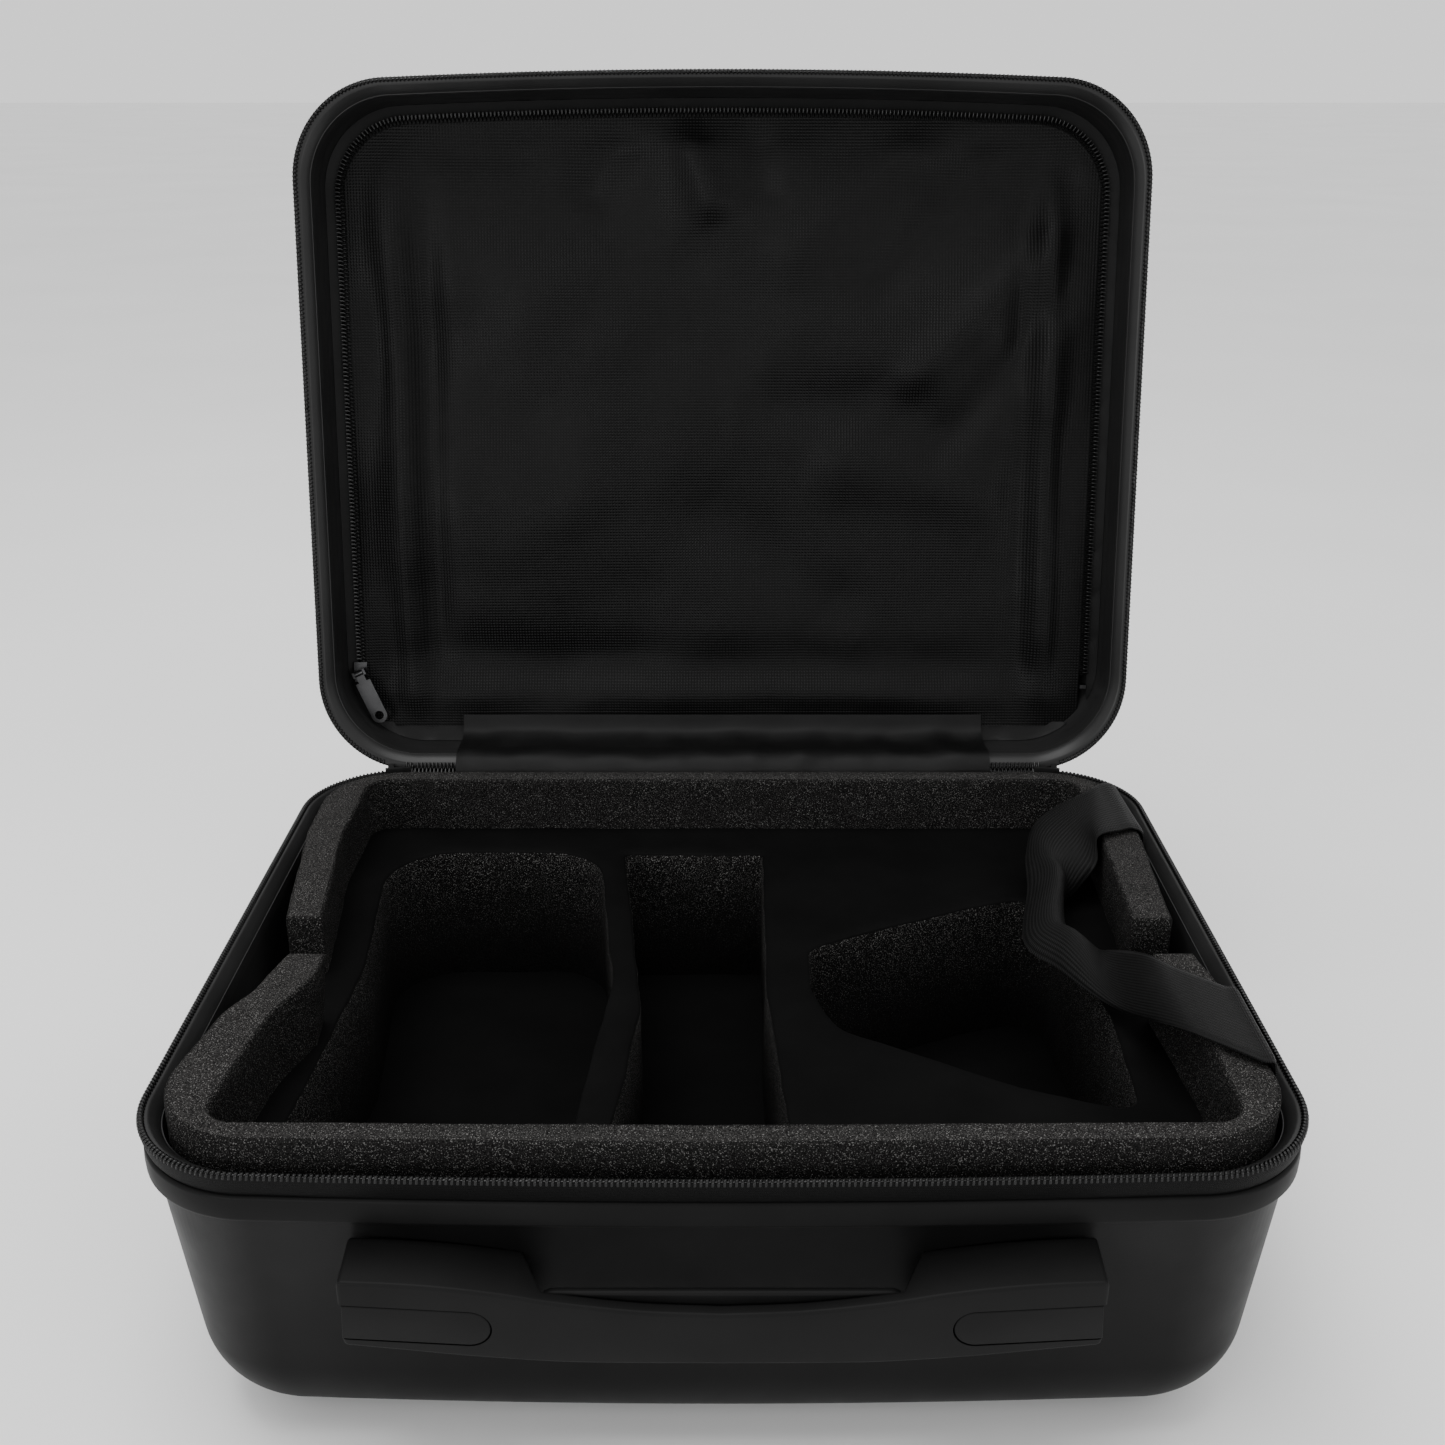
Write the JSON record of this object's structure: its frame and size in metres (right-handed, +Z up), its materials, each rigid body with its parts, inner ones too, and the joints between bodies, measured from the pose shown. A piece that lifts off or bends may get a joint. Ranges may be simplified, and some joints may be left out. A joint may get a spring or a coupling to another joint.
{
  "type": "drone carrying case",
  "caption": "Hard-shell zipped carrying case with a foam insert cut for a small drone and its kit, a lined lid, a lift strap and a flexible carry handle.",
  "frame": {"origin": "centre of the lower shell's flat underside", "axes": "+Z up, -Y towards the carry handle, +Y towards the zip hinge, +X to the right seen from the handle"},
  "size_m": [0.3498, 0.3887, 0.3937],
  "materials": {
    "shell_plastic": "satin",
    "zip_tape": "matte",
    "zip_teeth": "satin",
    "foam": "matte",
    "foam_block": "matte",
    "webbing": "matte",
    "lining_cloth": "matte",
    "lining_mesh": "matte",
    "handle_plastic": "satin",
    "plate_steel": "satin",
    "screw_steel": "satin",
    "spring_steel": "satin",
    "slider_metal": "satin",
    "pull_metal": "satin"
  },
  "bodies": {
    "base": {"base_shell": "shell_plastic", "base_zip_tape": "zip_tape", "base_zip_teeth": "zip_teeth", "hinge_zip_teeth": "zip_teeth", "foam_base_layer": "foam", "foam_block": "foam_block", "foam_collar_front": "foam", "foam_collar_rear": "foam", "lift_strap": "webbing", "hinge_flap_base": "lining_cloth", "handle_anchor_left": "handle_plastic", "handle_anchor_right": "handle_plastic", "handle_plate_left": "plate_steel", "handle_plate_right": "plate_steel", "handle_screws": "screw_steel", "slider_left": "slider_metal", "slider_right": "slider_metal"},
    "handle": {"handle_grip": "handle_plastic", "grip_spring_strip": "spring_steel"},
    "pull_left": {"pull_left": "pull_metal"},
    "pull_right": {"pull_right": "pull_metal"},
    "lid": {"lid_shell": "shell_plastic", "lid_zip_tape": "zip_tape", "lid_zip_teeth": "zip_teeth", "hinge_flap_lid": "lining_cloth", "lining_border": "zip_tape", "lining_zip_teeth": "zip_teeth", "lining_zip_stops": "slider_metal", "lining_panel": "lining_mesh"},
    "lining_slider": {"lining_slider": "slider_metal"},
    "lining_pull": {"lining_pull": "pull_metal"}
  },
  "joints": [
    {"name": "lid_hinge", "type": "hinge", "parent": "base", "child": "lid", "pos_m": [0, 0.1437, 0.109], "axis": [1, 0, 0], "range_deg": [0, 99.4]},
    {"name": "handle_pull", "type": "slide", "parent": "base", "child": "handle", "axis": [0, -0.9945, -0.1045], "range_m": [0, 0.01], "stiffness_N_per_m": 400},
    {"name": "pull_left_swing", "type": "hinge", "parent": "base", "child": "pull_left", "pos_m": [-0.1422, 0.14764, 0.1065], "axis": [0.9848, 0.1736, 0], "range_deg": [0, 60]},
    {"name": "pull_right_swing", "type": "hinge", "parent": "base", "child": "pull_right", "pos_m": [0.1422, 0.14764, 0.1065], "axis": [0.9848, -0.1736, 0], "range_deg": [0, 60]},
    {"name": "lining_slide", "type": "slide", "parent": "lid", "child": "lining_slider", "axis": [0, 0.1633, 0.9866], "range_m": [0, 0.118]},
    {"name": "lining_pull_swing", "type": "hinge", "parent": "lining_slider", "child": "lining_pull", "pos_m": [-0.1615, 0.17122, 0.14296], "axis": [-0.9135, -0.0664, -0.4013], "range_deg": [0, 105]}
  ]
}
